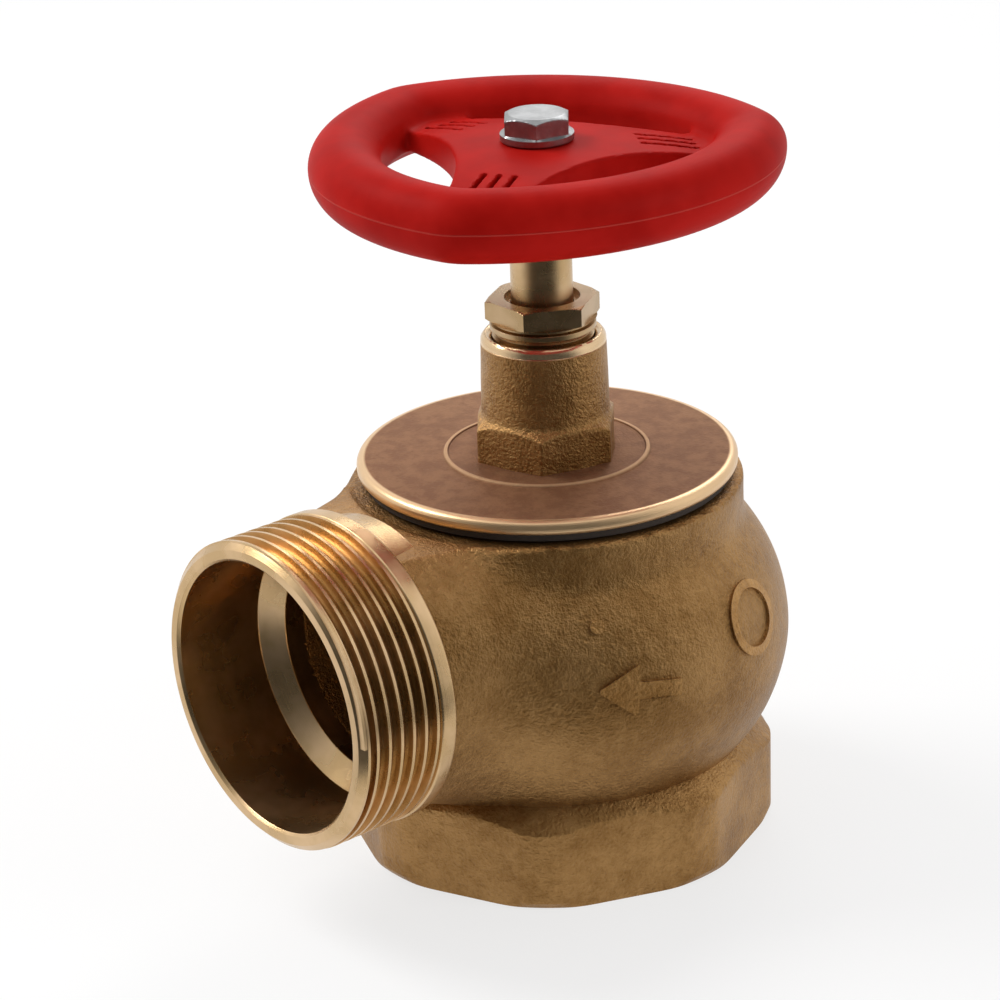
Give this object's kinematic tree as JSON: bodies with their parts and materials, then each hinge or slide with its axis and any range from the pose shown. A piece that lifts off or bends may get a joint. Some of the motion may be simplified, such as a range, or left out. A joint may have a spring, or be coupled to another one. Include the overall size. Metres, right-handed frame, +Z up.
{
  "type": "angle hose valve",
  "caption": "Brass angle hose valve for a fire hydrant: threaded inlet below, male hose thread at the side, rising stem with a red lobed handwheel.",
  "frame": {"origin": "centre of the inlet socket's bottom face, on the stem's axis", "axes": "+Z up along the stem, out of the inlet's far side; -Y out of the male hose outlet"},
  "size_m": [0.085, 0.1072, 0.132],
  "materials": {
    "cast_brass": "sand-cast brass, fine grain, turned where it seals",
    "turned_brass": "turned brass, semi-bright",
    "red_plastic": "moulded red plastic, satin gloss",
    "plated_steel": "zinc-plated steel",
    "black_rubber": "black nitrile rubber",
    "packing_white": "white fluoropolymer packing",
    "gasket_fibre": "dark flat gasket"
  },
  "bodies": {
    "valve": {"valve_body": "cast_brass", "bonnet": "cast_brass", "bonnet_gasket": "gasket_fibre", "gland_nut": "turned_brass", "gland_follower": "turned_brass", "stem_o_ring": "black_rubber", "packing_ring_1": "packing_white", "packing_ring_2": "packing_white", "packing_ring_3": "packing_white", "packing_washer": "turned_brass"},
    "disc": {"disc_holder": "turned_brass", "disc_seal": "black_rubber", "seal_washer": "plated_steel", "seal_nut": "plated_steel", "stem_clip": "plated_steel", "thrust_washer": "turned_brass"},
    "spindle": {"stem": "turned_brass", "handwheel": "red_plastic", "wheel_insert": "plated_steel", "wheel_bolt": "plated_steel"}
  },
  "joints": [
    {"name": "disc_lift", "type": "slide", "parent": "valve", "child": "disc", "axis": [0, 0, 1], "range_m": [0, 0.014]},
    {"name": "wheel_turn", "type": "hinge", "parent": "disc", "child": "spindle", "pos_m": [0, 0, 0.1], "axis": [0, 0, 1], "range_deg": [0, 1260]}
  ],
  "couplings": [
    {"joint": "disc_lift", "follows": "wheel_turn", "m_per_rad": 0.0006366}
  ]
}
